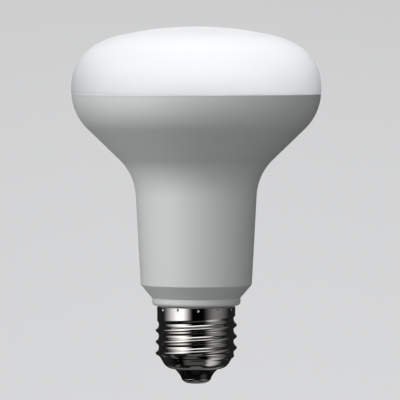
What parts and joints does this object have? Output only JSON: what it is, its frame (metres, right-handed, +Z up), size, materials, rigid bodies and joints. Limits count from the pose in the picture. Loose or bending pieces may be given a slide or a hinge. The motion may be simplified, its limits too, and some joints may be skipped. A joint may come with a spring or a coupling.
{
  "type": "reflector bulb",
  "caption": "Screw-cap reflector lamp with an opal domed diffuser on a white moulded housing that tapers through a cone and a drafted neck to a rolled metal cap",
  "frame": {"origin": "tip of the centre contact, on the lamp's axis, which is the middle of the bottom of the bounding box", "axes": "+Z runs up the lamp's axis from the contact to the crown of the diffuser; the lamp is round, so +X and +Y are set by the thread, whose first crest passes +X at 7.93 mm; the front that the picture shows faces -Y"},
  "size_m": [0.08, 0.08, 0.1143],
  "materials": {
    "diffuser": "opal white moulding, satin",
    "housing": "white moulding, satin",
    "plated_sheet": "bright nickel plate on rolled brass sheet",
    "black_glass": "glossy opaque black lamp-cap glass",
    "contact_metal": "plated brass pressing, worn satin"
  },
  "bodies": {
    "root": {"diffuser": "diffuser", "housing": "housing", "screw_shell": "plated_sheet", "insulator": "black_glass", "centre_contact": "contact_metal"}
  },
  "joints": []
}
